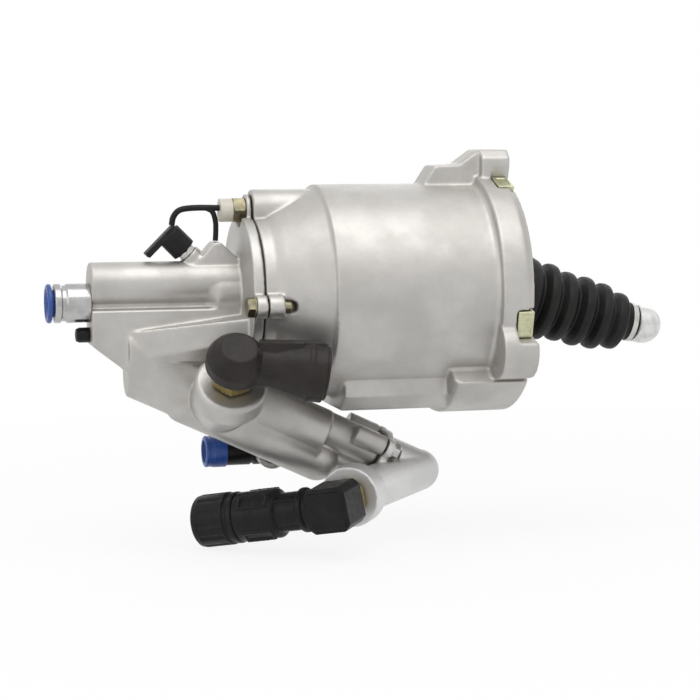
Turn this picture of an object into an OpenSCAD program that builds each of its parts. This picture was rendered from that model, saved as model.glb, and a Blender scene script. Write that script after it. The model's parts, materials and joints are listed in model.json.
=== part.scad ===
// Air and hydraulic clutch slave cylinder.
// Millimetres. The origin is the centre of the mounting face on the servo axis,
// +X is the thrust of the pushrod and +Z is up. The control valve hangs below the axis.

/* [Air cylinder] */
// Outer radius of the barrel
barrel_r = 60; // [58:0.5:66]
// Wall of the barrel round the air bore
barrel_wall = 9; // [8:0.5:12]
// Length of the shoulder, from the step to the seam with the valve casting
shoulder_len = 36; // [34:1:50]
// Height of the flange rim above the barrel
rim_out = 5; // [4:0.5:8]
// Thickness of the flange rim
flange_t = 15.5; // [12:0.5:20]
// Height of the three pads above the rim
pad_h = 4; // [3:0.5:6]
// Distance of the circle of mounting holes beyond the barrel's radius
mount_out = 2; // [0:0.5:5]
// Radius of a mounting ear
ear_r = 16; // [13:0.5:18]
// Radius of a mounting hole
mount_hole_r = 5.1; // [4:0.1:6.5]
// Depth of a mounting hole
mount_hole_depth = 17.5; // [14:0.5:18]
// Width of a notch in the rim
notch_w = 16; // [10:0.5:20]

/* [Seam] */
// Radius of the seam flanges
seam_r = 43; // [41:0.5:46]
// Thickness of each seam flange
seam_t = 6; // [5:0.5:9]
// Thickness of the gasket in the seam
gasket_t = 0.8; // [0.5:0.1:1.5]
// Radius of the circle of seam bolts
seam_bolt_pcd_r = 46; // [45:0.5:48]
// Radius of a seam bolt's shank
seam_bolt_r = 3; // [2.5:0.5:3.5]
// Radius of the tie stud
stud_r = 4; // [3.5:0.5:4.5]

/* [Valve casting] */
// Length of the hydraulic tube, from the seam to its end face
tube_len = 90; // [86:0.5:110]
// Outer radius of the hydraulic tube
tube_r = 12.5; // [12:0.5:15]
// Radius of the hydraulic bore
hyd_r = 8; // [6:0.5:9]
// Distance of the valve port behind the seam
valve_back = 19; // [17:0.5:22]
// Drop of the valve bore below the servo axis, at the port
valve_drop = 50.1; // [50:0.1:54]
// Slope of the valve bore, down towards the mounting face
valve_slope = 25; // [23:0.5:26]
// Radius of the valve bore
valve_bore_r = 8; // [6.5:0.5:8.5]
// Radius of the stub at the end of the valve
stub_r = 10.5; // [10:0.5:11.5]
// Distance of the stub's end from the port, along the valve bore
stub_end = 101; // [98:1:104]

/* [Piston and pushrod] */
// Working stroke of the piston, which sets the length of the barrel
stroke = 50; // [46:1:60]
// Thickness of the air piston
piston_t = 22; // [20:0.5:26]
// Radius of the hub that carries the ball socket
hub_r = 14.5; // [13.5:0.5:16]
// Distance of the ball from the back face of the piston
ball_reach = 75; // [66:1:78]
// Radius of the ball
ball_r = 9; // [8:0.5:9.5]
// Radius of the pushrod's shank
rod_r = 8.6; // [7.5:0.1:9]
// Radius of the pushrod's thrust end
tip_r = 11; // [10:0.5:12]
// Reach of the pushrod's tip beyond the mounting face
tip_reach = 101.5; // [96:0.5:120]
// Angle at which the pushrod hangs below the axis
rod_hang = 11.4; // [6:0.2:12]
// Radial running clearance of the moving pieces
run_gap = 0.05; // [0.02:0.01:0.08]

/* [Boot] */
// Number of boot folds
boot_folds = 6; // [4:1:7]
// Pitch of the folds
boot_pitch = 11.6; // [9:0.1:12]
// Radius of the largest fold
boot_fold_r = 22.8; // [21:0.2:24]
// Depth of a fold
boot_fold_d = 5.5; // [4:0.5:7]
// Wall of the boot
boot_wall = 1.8; // [1.2:0.1:2.5]

/* [Connections] */
// Outer radius of the inlet fitting
inlet_r = 10.8; // [10:0.2:12]
// Length of the inlet fitting's body
inlet_len = 19.8; // [19:0.2:24]
// Outer radius of the tube that a push-in fitting takes
hose_r = 6; // [4:0.5:6]
// Travel of a release collet
collet_travel = 1.2; // [0.8:0.1:1.4]
// Tilt of the upper port above the horizontal
upper_port_tilt = 44; // [40:1:46]
// Slope of the upper elbow's arm
upper_arm_dip = 12; // [6:1:16]
// Length of the upper elbow's arm
upper_arm_len = 48; // [44:0.5:50]
// Turn of the supply port away from the near side
lower_port_turn = 38; // [30:1:42]
// Slope of the lower elbow's arm
lower_arm_dip = 10; // [6:1:14]
// Length of the lower elbow's arm
lower_arm_len = 84; // [76:0.5:90]
// Length of the side fitting's body
side_len = 33; // [26:0.5:36]

/* [Hidden] */
$fn = 96;
eps = 0.01;
cast_grey = "#cfccc5";
black_plastic = "#2b2827";
zinc = "#b9b37c";
steel = "#b8bcc0";
brass = "#b08d3c";
rubber_black = "#1c1c1e";
pale_grey = "#d5d6d4";
blue = "#24519c";

// Places along the servo axis
barrel_spare = 40;
barrel_len = stroke + piston_t + barrel_spare;
bore_r = barrel_r - barrel_wall;
flange_r = barrel_r + rim_out;
mount_pcd_r = barrel_r + mount_out;
step_x = -barrel_len;
seam_x = step_x - shoulder_len;
floor_x = step_x + 4;
rim_x = -pad_h;
rim_back_x = rim_x - flange_t;
ear_back_x = rim_back_x - 0.6;
lip_x = -0.8;
lip_r = flange_r - 2.5;
piston_x = floor_x + 3;
ball_x = piston_x + ball_reach;
rod_len = tip_reach - ball_x;
wall_x = seam_x + 10;
casting_x = seam_x - gasket_t;

// Angles in the plane of the flange, from +Y towards +Z
ear_angles = [90, 210, 330];
notch_angles = [71, 109, 194.5, 345.5];
seam_bolt_angles = [0, 186, 318];
seam_lug_r = 6.5;

// End cover and its seat
cover_t = 5;
cover_seat_r = bore_r + 2.5;
cover_x = rim_x - 3 - cover_t;
snap_t = 2.4;
snap_depth = 2.2;
cover_neck_r = 25;
cover_neck_wall = 2;
cover_neck_len = 12;

// Shoulder
shoulder_r = barrel_r - 2;
shoulder_end_r = 46;
spring_pocket_r = 34;

// Foot under the barrel and saddle behind the flange
foot_half_w = 36;
foot_z = barrel_r + 5.7;
foot_len = 60;
foot_back = 42;
saddle_r = barrel_r + 11;
saddle_back = 43;

// Valve casting
tube_rise = 5.5;
casting_half_w = 12;
body_upper_r = 15;
body_upper_drop = 4;
body_lower_r = 11.5;
body_lower_drop = 16.4;
lobe_drop = 18.4;
lobe_start = -12;
body_end = 68;
lobe_end = 72;
body_back = 62;
body_back_x = casting_x - tube_len + 20;
boss_r = 20;
boss_y = 44;
boss_len = 14;
port_r = 5.5;
gland_r = 11;
gland_len = 16;
plug_z = -22;
inlet_z = -4.3;
hose_thread_r = 6.5;
thread_len = 10;
passage_r = 4;

// Cap on the tie stud
stud_cap_r = 6.5;
stud_cap_end = 16.5;

// Plunger
plunger_r = hyd_r - run_gap;
tube_floor = 17.3;
plunger_len = piston_x - casting_x + tube_len - tube_floor;
spigot_r = 6;

// Fits of a push-in fitting
collet_wall = 1.4;
collet_len = 9;
collet_head_t = 2.4;
socket_r = hose_r + collet_wall + run_gap;

// Boot: where its first fold starts beyond the mounting face, and the tilt of its folds on the rod
boot_start = 4.5;
boot_tilt = 4;
boot_tilt_at = 57;

// Elbows
adapter_r = 7;
hex_h = 9.3;
hex_r = 11.5;
adapter_len = 25.5;
upper_head_r = 16.5;
upper_head_z = 9.5;
upper_head_h = 20.7;
upper_mid = 18.2;
upper_arm_r = 11.7;
upper_end_r = 16;
upper_end_len = 10;
upper_waist = 18;
lower_head_r = 15.5;
lower_head_half_w = 12.6;
lower_head_z = 9.5;
lower_head_h = 23;
lower_mid = 21.5;
lower_neck_r = 11;
lower_collar_r = 14;
lower_end_r = 15;
lower_nut_len = 26;
nut_bore_r = 10.5;
lower_port_drop = 5;
arm_bore_r = 8;
arm_bore_len = 20;
supply_r = 11.5;
supply_leg = 29;
supply_boss_r = 17.5;
supply_boss_h = 12;
supply_screw_r = 14;
supply_lug_r = 5.6;
supply_screw_angles = [40, 160, 280];
supply_face = [casting_x + 51.8, -26, -114.7];

// Side fitting
side_r = 8.4;
side_boss_r = 9;

// A round bar along X
module bar_x(r, x0, x1) {
    translate([x0, 0, 0]) rotate([0, 90, 0]) cylinder(r = r, h = x1 - x0);
}

// A ring along X
module ring_x(ro, ri, x0, x1) {
    difference() {
        bar_x(ro, x0, x1);
        bar_x(ri, x0 - 1, x1 + 1);
    }
}

// A profile of [radius, x] points turned about the X axis
module turned(points) {
    rotate([0, 90, 0]) rotate_extrude() polygon(points);
}

// Children moved out to a radius and an angle in the YZ plane
module around(radius, angle) {
    translate([0, radius * cos(angle), radius * sin(angle)]) children();
}

// Children turned about the X axis so that their +Y points to an angle
module facing(angle) {
    rotate([angle, 0, 0]) children();
}

// A hexagon bar along X
module hex_x(across_flats, x0, x1) {
    translate([x0, 0, 0]) rotate([0, 90, 0])
        cylinder(r = across_flats / 2 / cos(30), h = x1 - x0, $fn = 6);
}

// An O-ring along X
module oring_x(mid_r, wire_r, x) {
    translate([x, 0, 0]) rotate([0, 90, 0]) rotate_extrude() translate([mid_r, 0]) circle(r = wire_r, $fn = 32);
}

// Coil spring along X, swept as rings of points
module coil_x(mid_r, wire_r, turns, x0, x1, steps = 14, sides = 6) {
    n = turns * steps;
    points = [
        for (i = [0:n]) let (a = 360 * i / steps, x = x0 + wire_r + (x1 - x0 - 2 * wire_r) * i / n)
            for (j = [0:sides - 1]) let (b = 360 * j / sides, r = mid_r + wire_r * cos(b))
                [x + wire_r * sin(b), r * cos(a), r * sin(a)]
    ];
    sides_faces = [
        for (i = [0:n - 1]) for (j = [0:sides - 1])
            [i * sides + j, i * sides + (j + 1) % sides, (i + 1) * sides + (j + 1) % sides, (i + 1) * sides + j]
    ];
    first_cap = [for (j = [sides - 1:-1:0]) j];
    last_cap = [for (j = [0:sides - 1]) n * sides + j];
    polyhedron(points = points, faces = concat([first_cap], sides_faces, [last_cap]));
}

// Frame of the control valve: origin at the port, +X along its bore
module in_valve() {
    translate([seam_x - valve_back, 0, -valve_drop]) rotate([0, valve_slope, 0]) children();
}

// Frame of the pushrod: origin at the ball, +X along the rod
module in_rod() {
    translate([ball_x, 0, 0]) rotate([0, rod_hang, 0]) children();
}

// Frame of the upper elbow: origin on the port's face, +Z out of the port, +X along the arm
module in_upper() {
    translate([seam_x - valve_back - 0.9, -boss_y, -valve_drop + 4.8]) rotate([90 - upper_port_tilt, 0, 0])
        rotate([0, 0, -upper_arm_dip]) children();
}

// Frame of the lower elbow: origin on the supply port's face, +Z out of the port, +X along the arm
module in_lower() {
    translate(supply_face) rotate([0, 0, -lower_port_turn]) rotate([90 + lower_port_drop, 0, 0])
        rotate([0, 0, 180 + lower_arm_dip]) children();
}

// Frame of the bleed screw: +Z up and back, at 45 degrees
module in_bleed() {
    translate([casting_x - 32.8, 0, 20.4]) rotate([0, -45, 0]) children();
}

// Frame of the side fitting: +Z back along the servo, in the fitting's arm
module in_side() {
    translate([casting_x + 14.8, 22, -93]) rotate([0, -90, 0]) children();
}

// Solid of a round mounting ear
module ear(angle) {
    facing(angle) {
        translate([0, mount_pcd_r, 0]) bar_x(ear_r, ear_back_x, 0);
        translate([ear_back_x, barrel_r - 10, -ear_r]) cube([-ear_back_x, mount_out + 10, 2 * ear_r]);
    }
}

// Solid of the top mounting ear, which has a flat top, and the sloping rib behind it
module top_ear() {
    low = barrel_r - 10;
    shoulder = mount_pcd_r + 12.5;
    top = mount_pcd_r + ear_r + 1.3;
    translate([-16.6, 0, 0]) rotate([90, 0, 90]) linear_extrude(16.6)
        polygon([[-ear_r, low], [ear_r, low], [ear_r, shoulder], [ear_r - 5, top], [5 - ear_r, top], [-ear_r, shoulder]]);
    translate([0, ear_r - 5.5, 0]) rotate([90, 0, 0]) linear_extrude(2 * ear_r - 11)
        polygon([[-50, low], [-50, barrel_r - 0.5], [-43, mount_pcd_r + 8.2], [-28, mount_pcd_r + 9.2],
                 [-17.5, top - 0.6], [-10, top - 0.6], [-10, low]]);
}

// Outside of the air cylinder, without its hollows
module housing_outside() {
    turned([
        [0, seam_x], [seam_r, seam_x], [seam_r, seam_x + seam_t], [shoulder_end_r - 3, seam_x + seam_t],
        [shoulder_end_r, seam_x + seam_t + 5], [shoulder_r, step_x], [barrel_r, step_x],
        [barrel_r, rim_back_x - 2], [barrel_r + 2, rim_back_x], [flange_r, rim_back_x],
        [flange_r, rim_x - 1], [flange_r - 1, rim_x], [lip_r, rim_x], [lip_r, lip_x], [0, lip_x]
    ]);
    top_ear();
    ear(ear_angles[1]);
    ear(ear_angles[2]);
    // Boss and lugs for the seam bolts
    around(seam_bolt_pcd_r, 90) bar_x(11.5, seam_x, step_x + 6);
    for (a = seam_bolt_angles) around(seam_bolt_pcd_r, a) bar_x(seam_lug_r, seam_x, seam_x + seam_t + 3);
    // Foot with the air duct
    translate([-foot_back - foot_len, 0, 0]) rotate([90, 0, 90]) linear_extrude(foot_len)
        polygon([[-foot_half_w, 20 - barrel_r], [-foot_half_w, -foot_z + 9], [-foot_half_w + 10, -foot_z],
                 [foot_half_w - 10, -foot_z], [foot_half_w, -foot_z + 9], [foot_half_w, 20 - barrel_r]]);
    // Saddle between the two lower ears
    intersection() {
        turned([[barrel_r - 3, -saddle_back], [saddle_r - 3, -saddle_back], [saddle_r, -saddle_back + 3],
                [saddle_r, -1], [saddle_r - 1, 0], [barrel_r - 3, 0]]);
        rotate([90, 0, 90]) translate([0, 0, -100]) linear_extrude(101)
            polygon([[0, 0], [-saddle_r - 4, -saddle_r - 2], [-saddle_r - 4, -saddle_r - 24],
                     [saddle_r + 4, -saddle_r - 24], [saddle_r + 4, -saddle_r - 2]]);
    }
}

module cylinder_housing() color(cast_grey) {
    difference() {
        housing_outside();
        // Air bore, cover seat, snap ring groove and mouth
        bar_x(bore_r, floor_x, 1);
        bar_x(cover_seat_r, cover_x, 1);
        bar_x(cover_seat_r + snap_depth, cover_x + cover_t, cover_x + cover_t + snap_t);
        // Pocket of the preload spring and passage of the plunger
        bar_x(spring_pocket_r, wall_x, floor_x + 1);
        bar_x(plunger_r + 2, seam_x - 1, wall_x + 1);
        // Mounting holes
        for (a = ear_angles) around(mount_pcd_r, a) bar_x(mount_hole_r, -mount_hole_depth, 1);
        // Notches that show the cover
        for (a = notch_angles) facing(a)
            translate([cover_x + 1, cover_seat_r - 3, -notch_w / 2]) cube([30, 40, notch_w]);
        // Threaded holes of the seam bolts
        for (a = seam_bolt_angles) around(seam_bolt_pcd_r, a) bar_x(seam_bolt_r + run_gap, seam_x - 1, seam_x + 16);
        around(seam_bolt_pcd_r, 90) bar_x(stud_r + run_gap, seam_x - 1, seam_x + 16);
    }
}

module seam_gasket() color("#3a3a3a") ring_x(seam_r - 1, gland_r + 2, seam_x - gasket_t, seam_x);

// Oval section of the control valve, in its own frame, as [x, y] = [height, side]
module valve_section() {
    translate([-body_upper_drop, 0]) circle(r = body_upper_r);
    translate([-body_lower_drop, 0]) circle(r = body_lower_r);
    polygon([[-body_upper_drop, -body_upper_r], [-body_upper_drop, body_upper_r],
             [-body_lower_drop, body_lower_r], [-body_lower_drop, -body_lower_r]]);
}

// Outside of the valve casting
module valve_outside() {
    // Hydraulic tube
    translate([0, 0, tube_rise]) bar_x(tube_r, casting_x - tube_len, casting_x);
    // Thick end of the tube, round the gland
    turned([[0, casting_x - gland_len - 24], [tube_r - 1.5, casting_x - gland_len - 24],
            [gland_r + 3.2, casting_x - gland_len - 2], [gland_r + 3.2, casting_x], [0, casting_x]]);
    // Web below the tube
    translate([0, casting_half_w, 0]) rotate([90, 0, 0]) linear_extrude(2 * casting_half_w)
        polygon([[casting_x - tube_len, tube_rise], [casting_x - tube_len, -27], [casting_x - tube_len + 6, -32],
                 [casting_x - tube_len + 19, -42], [casting_x - 30, -58], [casting_x, -40], [casting_x, tube_rise]]);
    // Shoulder from the web out to the seam flange
    hull() {
        translate([body_back_x, -casting_half_w, -36]) cube([2, 2 * casting_half_w, 16]);
        translate([casting_x - seam_t, -seam_r + 11, -24]) cube([2, 2 * seam_r - 22, 12]);
        translate([casting_x - seam_t, -seam_r + 24, -38]) cube([2, 2 * seam_r - 48, 10]);
    }
    // Seam flange and its lugs
    bar_x(seam_r, casting_x - seam_t, casting_x);
    around(seam_bolt_pcd_r, 90) bar_x(9, casting_x - 2.5, casting_x);
    translate([casting_x - 2.5, -9, 20]) cube([2.5, 18, seam_bolt_pcd_r - 20]);
    for (a = seam_bolt_angles) around(seam_bolt_pcd_r, a) bar_x(seam_lug_r, casting_x - seam_t, casting_x);
    // Body of the control valve, cut off square at the back
    intersection() {
        in_valve() union() {
            translate([-body_back, 0, 0]) rotate([0, 90, 0]) mirror([1, 0, 0])
                linear_extrude(body_back + body_end) valve_section();
            translate([0, 0, -lobe_drop]) bar_x(body_lower_r, lobe_start, lobe_end);
            translate([lobe_start, 0, -lobe_drop]) sphere(r = body_lower_r, $fn = 48);
            translate([lobe_end, 0, -lobe_drop]) sphere(r = body_lower_r, $fn = 48);
            bar_x(stub_r, body_end - 1, stub_end);
            for (a = supply_screw_angles) around(supply_screw_r, a) bar_x(supply_lug_r, body_end + 14, stub_end);
        }
        translate([body_back_x, -100, -200]) cube([300, 200, 220]);
    }
    // Round boss of the upper port
    in_upper() {
        translate([0, 0, -boss_len]) cylinder(r = boss_r, h = boss_len - 2);
        translate([0, 0, -2 - eps]) cylinder(r1 = boss_r, r2 = boss_r - 1.5, h = 2 + eps);
    }
    // Pedestal between the boss and the valve
    hull() {
        in_upper() translate([0, 0, 1 - boss_len]) cylinder(r = boss_r - 0.4, h = 0.5, $fn = 48);
        translate([seam_x - valve_back, -8, -valve_drop - 10]) rotate([90, 0, 0]) cylinder(r = boss_r - 3, h = 2, $fn = 48);
    }
    // Hump and boss of the bleed screw
    translate([0, 7, 0]) rotate([90, 0, 0]) linear_extrude(14)
        polygon([[casting_x - 42, 12], [casting_x - 30, 18], [casting_x - 21, 28.5], [casting_x - 17, 28.5],
                 [casting_x - 4.5, 17], [casting_x - 4.5, 12]]);
    in_bleed() translate([0, 0, -12]) cylinder(r = 6.5, h = 14);
    // Boss of the side fitting
    in_side() rotate([-90, 0, 0]) translate([0, 0, -18]) cylinder(r = side_boss_r, h = 9.5);
}

module valve_body() color(cast_grey) {
    difference() {
        valve_outside();
        // Hydraulic bore, gland and inlet port
        bar_x(hyd_r, casting_x - tube_len + 9, casting_x + 1);
        bar_x(gland_r, casting_x - gland_len, casting_x + 1);
        translate([0, 0, inlet_z]) bar_x(hose_thread_r + run_gap, casting_x - tube_len - 1, casting_x - tube_len + thread_len);
        // Plug hole
        translate([0, 0, plug_z]) bar_x(3 + run_gap, casting_x - tube_len - 1, casting_x - tube_len + 8);
        // Clearance behind the seam bolts' heads and their holes
        for (a = seam_bolt_angles) around(seam_bolt_pcd_r, a) {
            bar_x(seam_bolt_r + 0.4, casting_x - 12, casting_x + 1);
            bar_x(seam_lug_r - 0.3, casting_x - 40, casting_x - seam_t);
        }
        around(seam_bolt_pcd_r, 90) bar_x(stud_r + 0.4, casting_x - 12, casting_x + 1);
        around(seam_bolt_pcd_r, 90) bar_x(9.5, casting_x - 40, casting_x - 2.5);
        // Valve bore, open at the stub
        in_valve() bar_x(valve_bore_r, -44, stub_end + 1);
        // Upper port and its passage to the valve bore
        in_upper() translate([0, 0, -12]) cylinder(r = adapter_r + run_gap, h = 14);
        in_upper() translate([0, 0, -17]) cylinder(r = port_r, h = 8);
        translate([seam_x - valve_back, 0, -valve_drop - 3]) rotate([90, 0, 0]) cylinder(r = port_r - 1, h = boss_y - 9);
        // Bleed drilling
        in_bleed() translate([0, 0, -18]) cylinder(r = 1.5, h = 22);
        in_bleed() translate([0, 0, -8]) cylinder(r = 4 + run_gap, h = 12);
        // Screw holes of the supply elbow
        in_valve() for (a = supply_screw_angles) around(supply_screw_r, a) bar_x(2.5 + run_gap, stub_end - 14, stub_end + 1);
        // Side port
        in_side() rotate([-90, 0, 0]) translate([0, 0, -20]) cylinder(r = 5 + run_gap, h = 13);
    }
}

// Hexagon head screw that points along +X, with its head's seat at x = 0
module screw_x(shank_r, shank_len, flats, head_h) {
    hex_x(flats, -head_h, 0);
    bar_x(shank_r, -eps, shank_len);
}

module seam_bolts() color(zinc) for (a = seam_bolt_angles)
    around(seam_bolt_pcd_r, a) translate([casting_x - seam_t, 0, 0]) screw_x(seam_bolt_r, seam_t + 14, 10, 5);

module tie_stud() color(steel) around(seam_bolt_pcd_r, 90) {
    bar_x(stud_r, casting_x - 13.9, seam_x + 15);
}

module tie_nut() color(zinc) around(seam_bolt_pcd_r, 90) difference() {
    hex_x(13, casting_x - 9.5, casting_x - 2.5);
    bar_x(stud_r, casting_x - 10, casting_x - 2);
}

module end_cover() color(zinc) {
    turned([
        [cover_neck_r - cover_neck_wall, cover_x], [cover_seat_r - 0.1, cover_x], [cover_seat_r - 0.1, cover_x + cover_t],
        [cover_seat_r - 7, cover_x + cover_t], [cover_seat_r - 9, cover_x + 2.5], [cover_neck_r + 4, cover_x + 2.5],
        [cover_neck_r, cover_x + 5], [cover_neck_r, cover_x + cover_neck_len],
        [cover_neck_r - cover_neck_wall, cover_x + cover_neck_len]
    ]);
    // Lugs that stand in the notches, clear of the snap ring
    for (a = notch_angles) facing(a) translate([0, 0, -notch_w / 2 + 0.5]) linear_extrude(notch_w - 1)
        polygon([[cover_x + 1.3, cover_seat_r - 4], [cover_x + 1.3, flange_r - 0.6], [-1.5, flange_r - 0.6],
                 [-1.5, cover_seat_r + snap_depth + 0.8], [cover_x + cover_t - 0.3, cover_seat_r + snap_depth + 0.8],
                 [cover_x + cover_t - 0.3, cover_seat_r - 4]]);
}

module cover_snap_ring() color(steel) difference() {
    ring_x(cover_seat_r + snap_depth - 0.1, cover_seat_r - 2.5, cover_x + cover_t, cover_x + cover_t + snap_t - 0.1);
    translate([cover_x, 0, 0]) rotate([118, 0, 0]) translate([0, cover_seat_r - 6, -5]) cube([12, 12, 10]);
}

// Radius of the boot along the pushrod: a wave that narrows over the last two folds
function fold_r(k) = boot_fold_r - (k < 2 ? 0.2 : 2.1) - (k > 3 ? 1 : 0) - (k > boot_folds - 1.5 ? 2.8 : 0);

// Frame of the boot's folds, tilted on the pushrod so that they run in to the cover's neck
module in_folds() {
    at = boot_tilt_at - ball_x;
    in_rod() translate([at, 0, 0]) rotate([0, boot_tilt, 0]) translate([-at, 0, 0]) children();
}

module boot() color(rubber_black) {
    start = boot_start - ball_x;
    first = start + 10;
    last = first + boot_pitch * (boot_folds - 1);
    neck_end = last + boot_pitch / 2 + 0.8;
    collar_r = rod_r + 2.2;
    crests = [for (k = [0:boot_folds - 1]) each [
        [max(fold_r(k) - boot_fold_d, rod_r + 4), first + boot_pitch * (k - 0.5)],
        [fold_r(k), first + boot_pitch * (k - 0.18)],
        [fold_r(k), first + boot_pitch * (k + 0.18)]]];
    outside = concat(crests, [[collar_r + 1.2, last + boot_pitch / 2]]);
    inside = [for (i = [len(outside) - 1:-1:0]) [outside[i][0] - boot_wall, outside[i][1]]];
    in_folds() turned(concat(outside, inside));
    in_rod() turned([[rod_r + 0.1, neck_end - 5], [collar_r + 1.4, neck_end - 5], [collar_r + 1.4, neck_end - 1],
                     [collar_r, neck_end + 0.4], [collar_r, neck_end + 5.7], [rod_r + 0.1, neck_end + 5.7]]);
    neck_x = cover_x + 5.3;
    difference() {
        turned([[0, neck_x], [cover_neck_r + 2, neck_x], [cover_neck_r + 2, neck_x + 9],
                [boot_fold_r + 1, neck_x + 17], [0, neck_x + 17]]);
        bar_x(cover_neck_r + 0.1, neck_x - 1, cover_x + cover_neck_len + 0.3);
        bar_x(boot_fold_r - 2, neck_x, neck_x + 12);
        in_folds() bar_x(boot_fold_r - boot_fold_d - boot_wall, start - 20, start + 20);
    }
}

module boot_clamp() color(steel) ring_x(cover_neck_r + 2.9, cover_neck_r + 2.1, cover_x + 7, cover_x + 11);

module boot_band() color(steel) in_rod() {
    x = boot_start - ball_x + 10 + boot_pitch * (boot_folds - 0.5) + 2.4;
    ring_x(rod_r + 2.8, rod_r + 2.25, x, x + 3);
}

module air_piston() color("#9aa0a4") {
    r = bore_r - 0.4;
    hub_end = ball_x + 8;
    face = piston_x + piston_t;
    difference() {
        turned([[0, piston_x], [r - 1, piston_x], [r, piston_x + 1], [r, face - 1], [r - 1, face],
                [r - 7, face], [r - 9, face - 9], [hub_r + 8, face - 9], [hub_r, face + 1],
                [hub_r, hub_end], [0, hub_end]]);
        // Seal groove and guide groove
        ring_x(r + 1, r - 4.6, piston_x + 3, piston_x + 9);
        ring_x(r + 1, r - 2, piston_x + 11.5, piston_x + 18.5);
        // Socket bore with its clip groove, and the plunger's seat
        bar_x(ball_r + 3, ball_x - ball_r - 4, hub_end + 1);
        bar_x(ball_r + 4, hub_end - 3, hub_end - 1.6);
        bar_x(spigot_r + run_gap, piston_x - 1, face + 8);
        bar_x(spigot_r + 4, piston_x + 13, ball_x - ball_r - 3);
    }
}

module piston_seal() color(rubber_black) ring_x(bore_r - run_gap, bore_r - 5, piston_x + 3.2, piston_x + 8.8);

module guide_ring() color("#d8d2bd") ring_x(bore_r - run_gap, bore_r - 2.4, piston_x + 11.5, piston_x + 18.5);

module plunger() color(steel) turned([
    [0, piston_x - plunger_len], [plunger_r - 1, piston_x - plunger_len], [plunger_r, piston_x - plunger_len + 1],
    [plunger_r, piston_x], [spigot_r, piston_x], [spigot_r, piston_x + 14.5], [spigot_r - 0.8, piston_x + 14.5],
    [spigot_r - 0.8, piston_x + 15.8], [spigot_r, piston_x + 15.8], [spigot_r, piston_x + 17], [0, piston_x + 17]
]);

module plunger_circlip() color(steel) difference() {
    ring_x(spigot_r + 2, spigot_r - 0.75, piston_x + 13, piston_x + 15.8 - 0.1);
    ring_x(spigot_r + 0.02, 1, piston_x + 12, piston_x + 14.5);
    translate([piston_x + 12, 0, -2]) cube([5, 12, 4]);
}

module ball_socket() color("#e4e0d0") translate([ball_x, 0, 0]) difference() {
    bar_x(ball_r + 3 - 0.05, -ball_r - 4, 5);
    sphere(r = ball_r + run_gap);
    turned([[0, 2], [ball_r - 0.8, 3.5], [ball_r + 0.8, 5.5], [0, 5.5]]);
}

module socket_clip() color(steel) difference() {
    ring_x(ball_r + 4 - 0.1, ball_r + 1.6, ball_x + 5, ball_x + 6.4);
    translate([ball_x, 0, -3]) cube([9, 20, 6]);
}

module pushrod() color(steel) in_rod() {
    sphere(r = ball_r);
    turned([[0, 0], [5.5, 0], [5.5, 13], [rod_r, 20], [rod_r, rod_len - 16.5], [tip_r - 1, rod_len - 16.5],
            [tip_r, rod_len - 15.5], [tip_r, rod_len - tip_r], [0, rod_len - tip_r]]);
    intersection() {
        translate([rod_len - tip_r, 0, 0]) sphere(r = tip_r);
        bar_x(tip_r + 1, rod_len - tip_r - eps, rod_len + 1);
    }
}

module preload_spring() color(steel) coil_x(spring_pocket_r - 5, 1.6, 4, wall_x + 0.1, piston_x - 0.1);

module plunger_seal() color(rubber_black) ring_x(gland_r - 0.02, hyd_r, casting_x - gland_len, casting_x - 10);

module plunger_bush() color(brass) ring_x(gland_r - 0.02, hyd_r, casting_x - 9.9, casting_x);

module bleed_screw() color(steel) in_bleed() {
    translate([0, 0, -7]) cylinder(r = 4, h = 9 + eps);
    translate([0, 0, 2]) cylinder(r = 5.5, h = 3, $fn = 6);
    translate([0, 0, 5 - eps]) cylinder(r = 3, h = 9);
}

module bleed_cap() color(rubber_black) in_bleed() {
    difference() {
        union() {
            translate([0, 0, 5.2]) cylinder(r = 7.2, h = 12.8);
            translate([-17, -4.5, 16.5]) cube([22.5, 9, 3.5]);
        }
        translate([0, 0, 5]) cylinder(r = 3.05, h = 9.6);
    }
}

// Round bar from point to point with a ball at each joint
module strand(points, r) {
    for (i = [0:len(points) - 2]) {
        a = points[i];
        b = points[i + 1];
        d = b - a;
        translate(a) rotate([0, atan2(norm([d[0], d[1]]), d[2]), atan2(d[1], d[0])]) cylinder(r = r, h = norm(d), $fn = 24);
        translate(b) sphere(r = 1.06 * r, $fn = 24);
    }
}

module cap_strap() color(rubber_black) translate([casting_x, 0, 0]) {
    difference() {
        union() {
            strand([[-42.4, 0, 40.5], [-40.5, 0, 45], [-36, 0, 47.3], [-15.5, 0, 47.3]], 1.7);
            strand([[-23, 0, 47.3], [-19.2, 0, 43.5], [-18.6, 0, 37], [-18.8, 0, 30.2]], 1.5);
        }
        translate([0, 0, seam_bolt_pcd_r]) bar_x(stud_cap_r, -stud_cap_end, 0);
    }
}

module stud_cap() color("#dcd9cc") around(seam_bolt_pcd_r, 90) difference() {
    bar_x(stud_cap_r, casting_x - stud_cap_end, casting_x - 9.6);
    bar_x(stud_r + 0.02, casting_x - 14, casting_x - 9);
}

// Hollow body of a push-in fitting along +Z, from its seat at z = 0 outwards
module push_in_body(outer_r, length, thread_r, tail) {
    difference() {
        union() {
            cylinder(r = outer_r, h = length);
            translate([0, 0, -tail]) cylinder(r = thread_r, h = tail + eps);
        }
        translate([0, 0, -tail - 1]) cylinder(r = passage_r, h = length + tail);
        translate([0, 0, length - 18]) cylinder(r = hose_r + 0.1, h = 20);
        translate([0, 0, length - 15]) cylinder(r = socket_r + 0.8, h = 3);
        translate([0, 0, length - 12]) cylinder(r = socket_r, h = 20);
    }
}

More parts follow.
